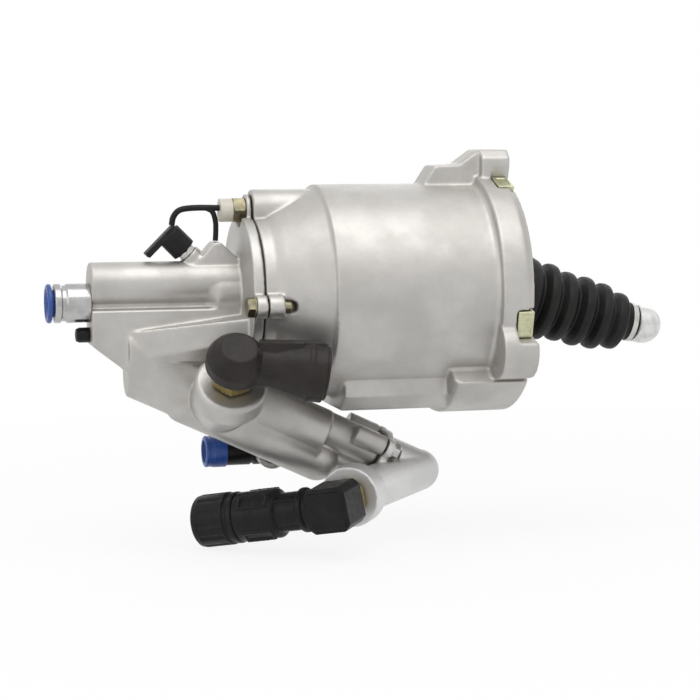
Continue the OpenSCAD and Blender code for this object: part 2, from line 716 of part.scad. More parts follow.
// Release collet of a push-in fitting whose mouth is at z = 0
module push_in_collet(head_r) {
    difference() {
        union() {
            translate([0, 0, collet_travel + 0.2]) cylinder(r = head_r, h = collet_head_t);
            translate([0, 0, -collet_len]) cylinder(r = socket_r - run_gap, h = collet_len + collet_travel + 1);
        }
        translate([0, 0, -collet_len - 1]) cylinder(r = hose_r + 0.1, h = 30);
    }
}

module in_inlet() {
    translate([casting_x - tube_len, 0, inlet_z]) rotate([0, -90, 0]) children();
}

module inlet_fitting() color("#d0d3d6") in_inlet() difference() {
    push_in_body(inlet_r, inlet_len, hose_thread_r, thread_len - 0.5);
    difference() {
        translate([0, 0, inlet_len - 6]) cylinder(r = inlet_r + 1, h = 1.2);
        translate([0, 0, inlet_len - 7]) cylinder(r = inlet_r - 0.8, h = 4);
    }
}

module inlet_collet() color(blue) in_inlet() translate([0, 0, inlet_len]) push_in_collet(inlet_r);

module inlet_grab_ring() color(steel) in_inlet() translate([0, 0, inlet_len - 12]) difference() {
    cylinder(r = socket_r, h = 0.8);
    translate([0, 0, -1]) cylinder(r = hose_r + 0.2, h = 3);
}

module inlet_oring() color(rubber_black) in_inlet() translate([0, 0, inlet_len - 13.5])
    rotate_extrude() translate([socket_r + 0.8 - 1.2, 0]) circle(r = 1.2, $fn = 32);

module vent_plug() color(black_plastic) translate([casting_x - tube_len, 0, plug_z]) {
    bar_x(4.2, -7.5, 0);
    bar_x(3, -eps, 7);
}

module upper_adapter() color(brass) in_upper() difference() {
    union() {
        translate([0, 0, -11]) cylinder(r = adapter_r, h = adapter_len);
        cylinder(r = hex_r, h = hex_h, $fn = 6);
    }
    translate([0, 0, -12]) cylinder(r = passage_r, h = 30);
}

// Arm of a plastic elbow, along +X at the height mid, with a wider end
module elbow_arm(mid, start, arm_r, arm_len, end_r, end_len, waist) {
    translate([0, 0, mid]) turned([[0, start], [arm_r, start], [arm_r, arm_len - end_len - waist],
        [end_r, arm_len - end_len], [end_r, arm_len], [0, arm_len]]);
}

// Hollows of a plastic elbow: socket on the adapter and passages
module elbow_hollow(head_z, mid, arm_len) {
    translate([0, 0, head_z - 1]) cylinder(r = adapter_r + run_gap, h = adapter_len - 11 - head_z + 1.6);
    translate([0, 0, head_z]) cylinder(r = passage_r, h = mid - head_z);
    translate([0, 0, mid]) bar_x(passage_r, 0, arm_len + 1);
}

module elbow_upper() color(black_plastic) in_upper() difference() {
    union() {
        rotate_extrude() polygon([[0, upper_head_z], [upper_head_r - 4, upper_head_z], [upper_head_r, upper_head_z + 4.5],
            [upper_head_r, upper_head_z + 11], [upper_head_r - 2.4, upper_head_z + 16],
            [upper_head_r - 6.5, upper_head_z + upper_head_h], [0, upper_head_z + upper_head_h]]);
        elbow_arm(upper_mid, hex_r + 1, upper_arm_r, upper_arm_len, upper_end_r, upper_end_len, upper_waist);
    }
    elbow_hollow(upper_head_z, upper_mid, upper_arm_len);
    translate([0, 0, upper_mid]) bar_x(arm_bore_r, upper_arm_len - arm_bore_len, upper_arm_len + 1);
}

module upper_end_ring() color("#3a3634") in_upper() translate([0, 0, upper_mid])
    ring_x(upper_end_r - 1.5, arm_bore_r - 1, upper_arm_len, upper_arm_len + 1.8);

module supply_elbow() color(pale_grey) {
    difference() {
        union() {
            in_valve() {
                for (a = supply_screw_angles) around(supply_screw_r, a) bar_x(supply_lug_r, stub_end + 1, stub_end + 5);
                bar_x(supply_screw_r, stub_end + 1, stub_end + 5);
                bar_x(supply_r, stub_end + 1, stub_end + supply_leg);
            }
            hull() {
                in_valve() translate([stub_end + supply_leg, 0, 0]) sphere(r = supply_r + 0.5, $fn = 32);
                in_lower() translate([0, 0, 2 - supply_boss_h]) cylinder(r = supply_r + 1, h = supply_boss_h - 5, $fn = 24);
            }
            in_lower() translate([0, 0, -supply_boss_h]) cylinder(r = supply_boss_r, h = supply_boss_h);
        }
        in_valve() bar_x(6, stub_end - 1, stub_end + supply_leg - 4);
        in_lower() translate([0, 0, -10]) cylinder(r = adapter_r + run_gap, h = 12);
        in_valve() for (a = supply_screw_angles) around(supply_screw_r, a) {
            bar_x(2.9, stub_end, stub_end + 7);
            bar_x(5.2, stub_end + 5, stub_end + 12);
            bar_x(supply_lug_r + 0.6, stub_end - 20, stub_end + 1);
        }
        in_valve() bar_x(stub_r + 0.6, stub_end - 14, stub_end + 1);
    }
}

module supply_gasket() color("#3a3a3a") in_valve() ring_x(stub_r - 0.5, valve_bore_r + 0.5, stub_end, stub_end + 1);

module supply_screws() color(steel) in_valve() for (a = supply_screw_angles)
    around(supply_screw_r, a) translate([stub_end + 5, 0, 0]) mirror([1, 0, 0]) screw_x(2.5, 17, 8, 4);

module lower_adapter() color(brass) in_lower() difference() {
    union() {
        translate([0, 0, -9.5]) cylinder(r = adapter_r, h = adapter_len - 1.5);
        cylinder(r = hex_r, h = hex_h, $fn = 6);
    }
    translate([0, 0, -12]) cylinder(r = passage_r, h = 30);
}

module elbow_lower() color(black_plastic) in_lower() difference() {
    union() {
        intersection() {
            translate([0, 0, lower_head_z]) cylinder(r = lower_head_r, h = lower_head_h);
            translate([-lower_head_half_w, -lower_head_half_w, lower_head_z - 1])
                cube([2 * lower_head_half_w, 2 * lower_head_half_w, lower_head_h + 2]);
        }
        elbow_arm(lower_mid, 0, lower_neck_r, lower_arm_len - lower_nut_len, lower_collar_r, 12, 5);
    }
    elbow_hollow(lower_head_z, lower_mid, lower_arm_len - lower_nut_len);
}

module lower_end_nut() color(black_plastic) in_lower() translate([0, 0, lower_mid]) difference() {
    bar_x(lower_end_r, lower_arm_len - lower_nut_len + 0.1, lower_arm_len);
    bar_x(nut_bore_r, lower_arm_len - lower_nut_len - 4, lower_arm_len + 1);
}

module side_fitting() color(black_plastic) in_side() {
    push_in_body(side_r, side_len, side_r - 0.6, 4);
    rotate([-90, 0, 0]) translate([0, 0, -16]) cylinder(r = 5, h = 9);
}

module side_collet() color(blue) in_side() translate([0, 0, side_len]) push_in_collet(side_r + 0.6);

module side_oring() color(rubber_black) in_side() translate([0, 0, side_len - 13.5])
    rotate_extrude() translate([socket_r + 0.8 - 1.2, 0]) circle(r = 1.2, $fn = 32);

module control_piston() color("#9aa0a4") in_valve() difference() {
    bar_x(valve_bore_r - run_gap, -38, -8);
    ring_x(valve_bore_r + 1, valve_bore_r - 2, -20, -16.5);
    bar_x(3.5, -12, -7);
}

module control_seal() color(rubber_black) in_valve() oring_x(valve_bore_r - run_gap - 0.95, 0.95, -18.2);

module control_spring() color(steel) in_valve() coil_x(5.5, 0.7, 5, -7.9, 11.9);

module valve_sleeve() color(brass) in_valve() difference() {
    bar_x(valve_bore_r - 0.02, 12, 62);
    bar_x(4, 11, 24);
    bar_x(6.2, 20, 63);
}

module inlet_valve() color("#c8c4b4") in_valve() difference() {
    union() {
        bar_x(6.2 - run_gap, 22.2, 30);
        bar_x(3, -3, 26);
        bar_x(4, 29, 44);
    }
    bar_x(1.6, -4, 45);
}

module valve_spring() color(steel) in_valve() coil_x(5.1, 0.6, 5, 30.1, 60);

module valve_circlip() color(steel) in_valve() ring_x(valve_bore_r - 0.02, 4.5, 62.05, 63.6);

cylinder_housing();
seam_gasket();
valve_body();
seam_bolts();
tie_stud();
tie_nut();
end_cover();
cover_snap_ring();
boot();
boot_clamp();
boot_band();
air_piston();
piston_seal();
guide_ring();
plunger();
plunger_circlip();
ball_socket();
socket_clip();
pushrod();
preload_spring();
plunger_seal();
plunger_bush();
bleed_screw();
bleed_cap();
cap_strap();
stud_cap();
inlet_fitting();
inlet_collet();
inlet_grab_ring();
inlet_oring();
vent_plug();
upper_adapter();
elbow_upper();
upper_end_ring();
supply_elbow();
supply_gasket();
supply_screws();
lower_adapter();
elbow_lower();
lower_end_nut();
side_fitting();
side_collet();
side_oring();
control_piston();
control_seal();
control_spring();
inlet_valve();
valve_spring();
valve_sleeve();
valve_circlip();
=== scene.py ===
"""Looks of an air and hydraulic clutch slave cylinder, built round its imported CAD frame."""

import json
import math

import bmesh
import bpy
import numpy as np
from mathutils import Matrix, Vector


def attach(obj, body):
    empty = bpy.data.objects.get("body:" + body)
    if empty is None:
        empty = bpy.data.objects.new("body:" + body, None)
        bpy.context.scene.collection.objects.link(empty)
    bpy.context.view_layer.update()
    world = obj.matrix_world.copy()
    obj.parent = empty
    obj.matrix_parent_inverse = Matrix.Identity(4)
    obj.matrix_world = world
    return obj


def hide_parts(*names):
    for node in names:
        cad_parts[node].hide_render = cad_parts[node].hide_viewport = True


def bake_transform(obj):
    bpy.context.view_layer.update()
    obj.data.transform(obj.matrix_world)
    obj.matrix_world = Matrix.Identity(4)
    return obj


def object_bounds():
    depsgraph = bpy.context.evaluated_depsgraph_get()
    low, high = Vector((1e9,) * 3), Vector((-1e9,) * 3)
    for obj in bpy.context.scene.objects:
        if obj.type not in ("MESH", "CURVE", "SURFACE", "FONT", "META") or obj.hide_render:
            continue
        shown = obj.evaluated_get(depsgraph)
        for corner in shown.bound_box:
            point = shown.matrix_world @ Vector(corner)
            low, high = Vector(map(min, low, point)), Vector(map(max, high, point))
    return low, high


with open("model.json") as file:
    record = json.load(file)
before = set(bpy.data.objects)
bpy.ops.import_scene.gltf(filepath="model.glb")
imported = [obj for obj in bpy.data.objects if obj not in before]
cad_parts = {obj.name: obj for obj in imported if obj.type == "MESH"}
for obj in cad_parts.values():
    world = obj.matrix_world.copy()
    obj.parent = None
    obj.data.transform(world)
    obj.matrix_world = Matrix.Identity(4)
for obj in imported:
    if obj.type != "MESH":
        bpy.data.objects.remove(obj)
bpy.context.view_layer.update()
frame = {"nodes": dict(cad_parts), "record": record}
nodes = frame["nodes"]
scene = bpy.context.scene

MM = 0.001


# Frames of the CAD model, in millimetres


def spin(degrees, axis):
    return Matrix.Rotation(math.radians(degrees), 4, axis)


def shift(x, y, z):
    return Matrix.Translation((x, y, z))


BALL_X = -30.0
SEAM_X = -148.0
CASTING_X = -148.8
TUBE_END_X = CASTING_X - 90.0
STUD_Z = 46.0
ROD_HANG = 11.4
FOLD_TILT = 4.0
FOLD_PIVOT = 87.0
IN_SERVO = spin(90, "Y")
IN_ROD = shift(BALL_X, 0, 0) @ spin(ROD_HANG, "Y")
IN_FOLDS = IN_ROD @ shift(FOLD_PIVOT, 0, 0) @ spin(FOLD_TILT, "Y")
IN_VALVE = shift(SEAM_X - 19, 0, -50.1) @ spin(25, "Y")
IN_UPPER = shift(SEAM_X - 19.9, -44, -45.3) @ spin(46, "X") @ spin(-12, "Z")
IN_LOWER = shift(CASTING_X + 51.8, -26, -114.7) @ spin(-38, "Z") @ spin(95, "X") @ spin(190, "Z")
IN_BLEED = shift(CASTING_X - 32.8, 0, 20.4) @ spin(-45, "Y")
IN_SIDE = shift(CASTING_X + 14.8, 22, -93) @ spin(-90, "Y")
IN_INLET = shift(TUBE_END_X, 0, -4.3) @ spin(-90, "Y")


def along_x(place):
    """The frame whose Z axis is the X axis of place."""
    return place @ spin(90, "Y")


# Materials


class Nodes:
    """Short names for building a node tree."""

    def __init__(self, name):
        self.material = bpy.data.materials.new(name)
        self.material.use_nodes = True
        self.tree = self.material.node_tree
        self.shader = self.tree.nodes["Principled BSDF"]
        self.place = self.add("ShaderNodeTexCoord").outputs["Object"]

    def add(self, kind, **settings):
        node = self.tree.nodes.new(kind)
        for key, value in settings.items():
            setattr(node, key, value)
        return node

    def link(self, source, socket):
        self.tree.links.new(source, socket)

    def noise(self, scale, detail=3.0, rough=0.55, stretch=None):
        node = self.add("ShaderNodeTexNoise")
        node.inputs["Scale"].default_value = scale
        node.inputs["Detail"].default_value = detail
        node.inputs["Roughness"].default_value = rough
        place = self.place
        if stretch:
            mapping = self.add("ShaderNodeMapping")
            mapping.inputs["Scale"].default_value = stretch
            self.link(place, mapping.inputs["Vector"])
            place = mapping.outputs["Vector"]
        self.link(place, node.inputs["Vector"])
        return node.outputs["Fac"]

    def spread(self, value, low, high, to_low=0.0, to_high=1.0):
        node = self.add("ShaderNodeMapRange", interpolation_type="SMOOTHSTEP")
        for key, number in zip(("From Min", "From Max", "To Min", "To Max"), (low, high, to_low, to_high)):
            node.inputs[key].default_value = number
        self.link(value, node.inputs["Value"])
        return node.outputs["Result"]

    def mix(self, factor, first, second, blend="MIX"):
        node = self.add("ShaderNodeMix", data_type="RGBA", blend_type=blend)
        for socket, value in ((node.inputs[0], factor), (node.inputs[6], first), (node.inputs[7], second)):
            if isinstance(value, bpy.types.NodeSocket):
                self.link(value, socket)
            elif isinstance(value, (int, float)):
                socket.default_value = value
            else:
                socket.default_value = (*value, 1)
        return node.outputs[2]

    def math(self, operation, first, second=0.0):
        node = self.add("ShaderNodeMath", operation=operation)
        for socket, value in zip(node.inputs, (first, second)):
            if isinstance(value, bpy.types.NodeSocket):
                self.link(value, socket)
            else:
                socket.default_value = value
        return node.outputs[0]

    def edge(self, radius):
        """1 near the convex and concave edges of the mesh, 0 elsewhere."""
        bevel = self.add("ShaderNodeBevel", samples=4)
        bevel.inputs["Radius"].default_value = radius
        normal = self.add("ShaderNodeNewGeometry").outputs["Normal"]
        dot = self.add("ShaderNodeVectorMath", operation="DOT_PRODUCT")
        self.link(bevel.outputs["Normal"], dot.inputs[0])
        self.link(normal, dot.inputs[1])
        return self.spread(dot.outputs["Value"], 0.99, 0.8)

    def hollow(self, distance):
        """0 in corners and pockets, 1 on open faces: an ambient-occlusion mask, used for painted shade."""
        node = self.add("ShaderNodeAmbientOcclusion", samples=6)
        node.inputs["Distance"].default_value = distance
        return node.outputs["AO"]

    def bump(self, *layers, edge_radius=0.0):
        """Each layer is (height, depth in metres). edge_radius rounds the shading of sharp edges."""
        normal = None
        if edge_radius:
            bevel = self.add("ShaderNodeBevel", samples=4)
            bevel.inputs["Radius"].default_value = edge_radius
            normal = bevel.outputs["Normal"]
        for height, depth in layers:
            node = self.add("ShaderNodeBump")
            node.inputs["Strength"].default_value = 1.0
            node.inputs["Distance"].default_value = depth
            self.link(height, node.inputs["Height"])
            if normal:
                self.link(normal, node.inputs["Normal"])
            normal = node.outputs["Normal"]
        self.link(normal, self.shader.inputs["Normal"])

    def colour(self, value):
        self.link(value, self.shader.inputs["Base Color"])

    def rough(self, value):
        self.link(value, self.shader.inputs["Roughness"])

    def set(self, **sockets):
        for key, value in sockets.items():
            self.shader.inputs[key.replace("_", " ")].default_value = value


def cast_metal(name, light, dark, worn_and_highlit, roughness, grain, metallic=0.82):
    """Blasted die-cast aluminium: cloudy grey, fine sand grain, edges painted brighter (wear and a painted highlight),
    corners and pockets painted darker and browner (grime and painted shade).
    """
    n = Nodes(name)
    cloud = n.spread(n.noise(38, 4), 0.35, 0.68)
    blotch = n.spread(n.noise(140, 5, 0.65), 0.42, 0.62)
    colour = n.mix(cloud, light, dark)
    colour = n.mix(n.math("MULTIPLY", blotch, 0.35), colour, [c * 0.88 for c in light])
    # Edges painted brighter: partly wear, partly a painted highlight.
    colour = n.mix(n.math("MULTIPLY", n.edge(0.0012), 0.55), colour, worn_and_highlit)
    # Corners and pockets painted darker and browner from ambient occlusion: partly grime, partly painted shade.
    grime_and_painted_shade = n.spread(n.hollow(0.004), 0.25, 0.85, 0.2, 1.0)
    tint = n.mix(grime_and_painted_shade, [0.42, 0.38, 0.32], [1, 1, 1])
    n.colour(n.mix(1.0, colour, tint, "MULTIPLY"))
    speckle = n.noise(1500, 2, 0.6)
    n.rough(n.math("ADD", n.spread(speckle, 0.3, 0.7, -0.05, 0.06), n.spread(cloud, 0, 1, roughness, roughness + 0.07)))
    n.set(Metallic=metallic)
    n.bump((n.noise(1400, 3, 0.6), grain), (n.noise(420, 2), grain * 1.6), (n.noise(90, 2), grain * 3))
    return n.material


def turned_metal(name, light, dark, roughness, ring, metallic=1.0, stain=None, edge=0.0003):
    """Machined metal: fine turning lines, cloudy tarnish, edges painted brighter as a painted highlight."""
    n = Nodes(name)
    cloud = n.spread(n.noise(160, 4, 0.6), 0.38, 0.66)
    colour = n.mix(cloud, light, dark)
    if stain:
        colour = n.mix(n.spread(n.noise(420, 3, 0.7), 0.5, 0.72, 0, 0.7), colour, stain)
    # Edges painted brighter than the metal: a painted highlight.
    n.colour(n.mix(n.math("MULTIPLY", n.edge(0.0005), 0.5), colour, [min(1, c * 1.25) for c in light]))
    lines = n.noise(900, 2, 0.5, ring)
    n.rough(n.math("ADD", n.spread(lines, 0.3, 0.7, -0.04, 0.05), n.spread(cloud, 0, 1, roughness, roughness + 0.1)))
    n.set(Metallic=metallic)
    n.bump((lines, 0.000008), edge_radius=edge)
    return n.material


def moulded(name, light, dark, roughness, grain, dust=None, edge=0.0003, specular=0.5):
    """Moulded plastic or rubber: even colour with slight flow marks, fine grain, rubbed edges and dust."""
    n = Nodes(name)
    flow = n.spread(n.noise(70, 4, 0.6), 0.35, 0.7)
    colour = n.mix(flow, light, dark)
    if dust:
        specks = n.spread(n.noise(600, 5, 0.7), 0.52, 0.78, 0, 0.5)
        colour = n.mix(specks, colour, dust)
        colour = n.mix(n.math("MULTIPLY", n.edge(0.0006), 0.45), colour, dust)
    n.colour(colour)
    n.rough(n.spread(n.noise(300, 4, 0.6), 0.3, 0.7, roughness - 0.06, roughness + 0.08))
    n.set(Specular_IOR_Level=specular)
    n.bump((n.noise(2200, 2, 0.6), grain), (n.noise(260, 3), grain * 1.5), edge_radius=edge)
    return n.material


CAST = cast_metal("cast_alloy", [0.535, 0.52, 0.498], [0.475, 0.461, 0.438], [0.64, 0.63, 0.61], 0.44, 0.00003)
PALE_CAST = cast_metal("pale_alloy", [0.76, 0.758, 0.752], [0.67, 0.668, 0.66], [0.84, 0.835, 0.83], 0.46, 0.00004, 0.7)
MACHINED = turned_metal("machined_alloy", [0.66, 0.66, 0.65], [0.56, 0.56, 0.55], 0.26, (0.2, 1, 1))
ZINC = turned_metal("zinc_plate", [0.30, 0.27, 0.18], [0.20, 0.185, 0.125], 0.36, (1, 0.3, 0.3), stain=[0.16, 0.13, 0.09])
PALE_ZINC = turned_metal("pale_zinc", [0.60, 0.60, 0.40], [0.50, 0.51, 0.36], 0.34, (1, 0.3, 0.3), stain=[0.40, 0.38, 0.26])
STEEL = turned_metal("steel", [0.60, 0.59, 0.57], [0.47, 0.46, 0.44], 0.27, (1, 0.2, 0.2))
PALE_STEEL = turned_metal("pale_steel", [0.74, 0.74, 0.73], [0.60, 0.60, 0.59], 0.36, (1, 0.15, 0.15))
NICKEL = turned_metal("nickel", [0.47, 0.468, 0.465], [0.4, 0.398, 0.395], 0.2, (1, 0.12, 0.12))
BRASS = turned_metal("brass", [0.42, 0.34, 0.13], [0.28, 0.22, 0.08], 0.3, (1, 0.3, 0.3), stain=[0.15, 0.12, 0.05])
RUBBER = moulded("rubber_black", [0.009, 0.009, 0.009], [0.016, 0.0155, 0.015], 0.5, 0.000012, [0.045, 0.043, 0.04], specular=0.22)
GASKET = moulded("gasket", [0.03, 0.03, 0.03], [0.05, 0.048, 0.045], 0.8, 0.00003)
BLACK = moulded("black_plastic", [0.007, 0.007, 0.0075], [0.012, 0.012, 0.012], 0.36, 0.000016, [0.035, 0.034, 0.033], specular=0.18)
BROWN = moulded("brown_plastic", [0.020, 0.0165, 0.0155], [0.028, 0.023, 0.021], 0.38, 0.000016, [0.055, 0.048, 0.045], specular=0.2)
BLUE = moulded("blue_plastic", [0.020, 0.075, 0.33], [0.014, 0.055, 0.25], 0.34, 0.000008, [0.14, 0.21, 0.46])
CREAM = moulded("pale_plastic", [0.68, 0.65, 0.56], [0.60, 0.57, 0.48], 0.42, 0.00001)

SLOTS = {
    "cast_alloy": CAST,
    "pale_alloy": PALE_CAST,
    "machined_alloy": MACHINED,
    "zinc_plate": ZINC,
    "steel": STEEL,
    "nickel": NICKEL,
    "brass": BRASS,
    "rubber_black": RUBBER,
    "gasket": GASKET,
    "black_plastic": BLACK,
    "blue_plastic": BLUE,
    "pale_plastic": CREAM,
}
for part in frame["record"]["subparts"]:
    shown = nodes[part["node"]]
    shown.data.materials.clear()
    shown.data.materials.append(SLOTS[part["material_slot"]])


# Meshes


def new_object(name, mesh):
    made = bpy.data.objects.new(name, mesh)
    scene.collection.objects.link(made)
    return made


def mesh_of(name, points, faces):
    mesh = bpy.data.meshes.new(name)
    mesh.from_pydata([tuple(p) for p in points], [], faces)
    mesh.update()
    return mesh


def moved(mesh, place):
    """Takes a mesh in millimetres in one of the frames to the row's metres."""
    mesh.transform(Matrix.Scale(MM, 4) @ place)
    return mesh


def shade(mesh, angle=38.0):
    """Smooth faces, with edges sharper than angle left crisp."""
    bm = bmesh.new()
    bm.from_mesh(mesh)
    bmesh.ops.remove_doubles(bm, verts=bm.verts, dist=1e-7)
    bmesh.ops.recalc_face_normals(bm, faces=bm.faces)
    limit = math.radians(angle)
    for face in bm.faces:
        face.smooth = True
    for edge in bm.edges:
        edge.smooth = len(edge.link_faces) == 2 and edge.calc_face_angle(0.0) < limit
    bm.to_mesh(mesh)
    bm.free()
    return mesh


def piece(name, mesh, slot, body="root", stands_for=(), material=None):
    """A shown object with its material (the slot's, unless material is given) and body; the CAD nodes that it stands
    for are hidden.
    """
    made = new_object(name, mesh)
    mesh.materials.clear()
    mesh.materials.append(material or SLOTS[slot])
    if body:
        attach(made, body)
    if stands_for:
        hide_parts(*stands_for)
    return made


def rounded(points, radius=0.3, steps=3):
    """A closed profile whose corners are rounded. A point may hold its own radius as a third number."""
    out = []
    count = len(points)
    for k, point in enumerate(points):
        here = Vector(point[:2])
        before = Vector(points[k - 1][:2]) - here
        after = Vector(points[(k + 1) % count][:2]) - here
        size = point[2] if len(point) > 2 else radius
        if size <= 0 or here.x < 1e-6 or before.length < 1e-6 or after.length < 1e-6:
            out.append(here)
            continue
        angle = before.angle(after)
        reach = min(size / max(math.tan(angle / 2), 1e-3), 0.45 * before.length, 0.45 * after.length)
        first = here + before.normalized() * reach
        last = here + after.normalized() * reach
        for s in range(steps + 1):
            t = s / steps
            out.append(first * (1 - t) ** 2 + here * 2 * t * (1 - t) + last * t * t)
    return out


def lathe(name, profile, place, steps=96, radius=0.3):
    """Turns a closed profile of (radius, height) about the Z axis of place."""
    rim = rounded(profile, radius)
    turns = [2 * math.pi * k / steps for k in range(steps)]
    points = [(p.x * math.cos(a), p.x * math.sin(a), p.y) for a in turns for p in rim]
    count = len(rim)
    faces = []
    for k in range(steps):
        here, there = k * count, ((k + 1) % steps) * count
        for i in range(count):
            j = (i + 1) % count
            faces.append((here + i, there + i, there + j, here + j))
    mesh = mesh_of(name, points, faces)
    bm = bmesh.new()
    bm.from_mesh(mesh)
    bmesh.ops.remove_doubles(bm, verts=bm.verts, dist=1e-5)
    bmesh.ops.dissolve_degenerate(bm, edges=bm.edges, dist=1e-6)
    bm.to_mesh(mesh)
    bm.free()
    return moved(mesh, place)


def hexagon(name, flats, low, high, place, bore=0.0, top=True, bottom=False, steps=96):
    """A hexagon head or nut along Z from low to high, its corners chamfered at 30 degrees."""
    circle = flats / 2 * 0.97
    inner = max(bore, 0.0)

    def reach(a):
        within = (a + math.pi / 6) % (math.pi / 3) - math.pi / 6
        return flats / 2 / math.cos(within)

    rings = []
    for k in range(steps):
        a = 2 * math.pi * k / steps
        out = reach(a)
        drop = (out - circle) * 0.577
        low_ring = [(circle, low), (out, low + drop)] if bottom else [(out, low)]
        high_ring = [(out, high - drop), (circle, high)] if top else [(out, high)]
        ring = [(inner, low), *low_ring, *high_ring, (inner, high)]
        rings.append([(r * math.cos(a), r * math.sin(a), z) for r, z in ring])
    count = len(rings[0])
    faces = []
    for k in range(steps):
        here, there = k * count, ((k + 1) % steps) * count
        last = count if bore else count - 1
        for i in range(last):
            j = (i + 1) % count
            faces.append((here + i, there + i, there + j, here + j))
    mesh = mesh_of(name, [p for ring in rings for p in ring], faces)
    bm = bmesh.new()
    bm.from_mesh(mesh)
    bmesh.ops.remove_doubles(bm, verts=bm.verts, dist=1e-5)
    bmesh.ops.dissolve_degenerate(bm, edges=bm.edges, dist=1e-6)
    bm.to_mesh(mesh)
    bm.free()
    return shade(moved(mesh, place), 20)


def screw_thread(name, radius, pitch, low, high, place, steps=48):
    """A threaded bar along Z: its radius follows the thread round each turn."""
    depth = 0.55 * pitch
    rows = int((high - low) / pitch * 8) + 1
    points = []
    for i in range(rows):
        z = low + (high - low) * i / (rows - 1)
        for k in range(steps):
            wave = abs(((z / pitch - k / steps) % 1.0) * 2 - 1)
            r = radius - depth * wave
            a = 2 * math.pi * k / steps
            points.append((r * math.cos(a), r * math.sin(a), z))
    faces = []
    for i in range(rows - 1):
        for k in range(steps):
            j = (k + 1) % steps
            faces.append((i * steps + k, i * steps + j, (i + 1) * steps + j, (i + 1) * steps + k))
    faces.append(tuple(reversed(range(steps))))
    faces.append(tuple((rows - 1) * steps + k for k in range(steps)))
    return shade(moved(mesh_of(name, points, faces), place), 50)


def joined(*meshes):
    """One mesh that holds all of these."""
    bm = bmesh.new()
    for mesh in meshes:
        bm.from_mesh(mesh)
    out = bpy.data.meshes.new(meshes[0].name)
    bm.to_mesh(out)
    bm.free()
    return out


def welded_copy(node):
    """The mesh of a CAD node with its faces joined at their edges."""
    mesh = nodes[node].data.copy()
    bm = bmesh.new()
    bm.from_mesh(mesh)
    bmesh.ops.remove_doubles(bm, verts=bm.verts, dist=1e-6)
    bm.to_mesh(mesh)
    bm.free()
    return mesh


def cast_skin(name, mesh, voxel, passes, polish=()):
    """A casting's skin: the solid's surface with its edges and corners rounded off by smoothing.
    polish names turned surfaces to bring back exactly: (frame, r0, z0, r1, z1), in millimetres."""
    rough = new_object(name + "_rough", mesh)
    remesh = rough.modifiers.new("voxels", "REMESH")
    remesh.mode = "VOXEL"
    remesh.voxel_size = voxel * MM
    found = rough.evaluated_get(bpy.context.evaluated_depsgraph_get())
    skin = bpy.data.meshes.new_from_object(found)
    bpy.data.objects.remove(rough)
    count = len(skin.vertices)
    places = np.empty(count * 3)
    skin.vertices.foreach_get("co", places)
    places = places.reshape(-1, 3)
    ends = np.empty(len(skin.edges) * 2, dtype=np.int64)
    skin.edges.foreach_get("vertices", ends)
    one, two = ends.reshape(-1, 2).T
    degree = np.bincount(one, minlength=count) + np.bincount(two, minlength=count)
    for _ in range(passes):
        total = [
            np.bincount(one, places[two, k], count) + np.bincount(two, places[one, k], count) for k in range(3)
        ]
        places += 0.5 * (np.stack(total, 1) / degree[:, None] - places)
    for place, r0, z0, r1, z1 in polish:
        to_frame = np.array((Matrix.Scale(MM, 4) @ place).inverted())
        local = places @ to_frame[:3, :3].T + to_frame[:3, 3]
        radius = np.hypot(local[:, 0], local[:, 1])
        along = np.clip((local[:, 2] - z0) / (z1 - z0), 0, 1)
        miss = (r0 + (r1 - r0) * along) - radius
        inside = np.clip(np.minimum(local[:, 2] - z0, z1 - local[:, 2]) / 1.5, 0, 1)
        near = np.clip(1.6 - np.abs(miss) / 0.12, 0, 1) * inside
        local[:, :2] *= (1 + near * miss / np.maximum(radius, 1e-6))[:, None]
        back = np.array(Matrix.Scale(MM, 4) @ place)
        places = local @ back[:3, :3].T + back[:3, 3]
    skin.vertices.foreach_set("co", places.ravel())
    skin.polygons.foreach_set("use_smooth", [True] * len(skin.polygons))
    skin.update()
    return skin


def tube(name, route, radius, place, sides=20, steps=8):
    """A round bar along a smooth curve through the points of route, with flat ends."""
    points = [Vector(p) for p in route]
    line = []
    for k in range(len(points) - 1):
        before = points[max(k - 1, 0)]
        one, two = points[k], points[k + 1]
        after = points[min(k + 2, len(points) - 1)]
        for s in range(steps):
            t = s / steps
            line.append(0.5 * (
                2 * one + (two - before) * t + (2 * before - 5 * one + 4 * two - after) * t * t
                + (3 * one - before - 3 * two + after) * t ** 3))
    line.append(points[-1])
    ring_points, faces = [], []
    side = Vector((0, 1, 0))
    for k, point in enumerate(line):
        ahead = (line[min(k + 1, len(line) - 1)] - line[max(k - 1, 0)]).normalized()
        up = ahead.cross(side).normalized()
        across = up.cross(ahead).normalized()
        for s in range(sides):
            a = 2 * math.pi * s / sides
            ring_points.append(point + (across * math.cos(a) + up * math.sin(a)) * radius)
    for k in range(len(line) - 1):
        for s in range(sides):
            t = (s + 1) % sides
            faces.append((k * sides + s, k * sides + t, (k + 1) * sides + t, (k + 1) * sides + s))
    faces.append(tuple(range(sides)))
    faces.append(tuple(reversed(range((len(line) - 1) * sides, len(line) * sides))))
    return shade(moved(mesh_of(name, ring_points, faces), place), 60)


# Castings


def smooth_step(value):
    value = np.clip(value, 0, 1)
    return value * value * (3 - 2 * value)


def recess_under_tube(mesh):
    """Lets the wall below the hydraulic tube stand back on the near side, so that the tube's round shows."""
    tube_r, tube_z, wall_y, edge_z = 12.5, 5.5, 7.6, -8.4
    count = len(mesh.vertices)
    places = np.empty(count * 3)
    mesh.vertices.foreach_get("co", places)
    x, y, z = (places.reshape(-1, 3) / MM).T
    under = np.clip(tube_z - z, 0, None)
    round_y = -np.sqrt(np.clip(tube_r ** 2 - under ** 2, wall_y ** 2, None))
    share = smooth_step((z - edge_z) / 1.2) * smooth_step((-168 - x) / 7) * (under > 0) * (y < -3)
    y += share * np.clip(round_y - y, 0, None)
    mesh.vertices.foreach_set("co", np.stack([x, y, z], 1).ravel() * MM)
    mesh.update()


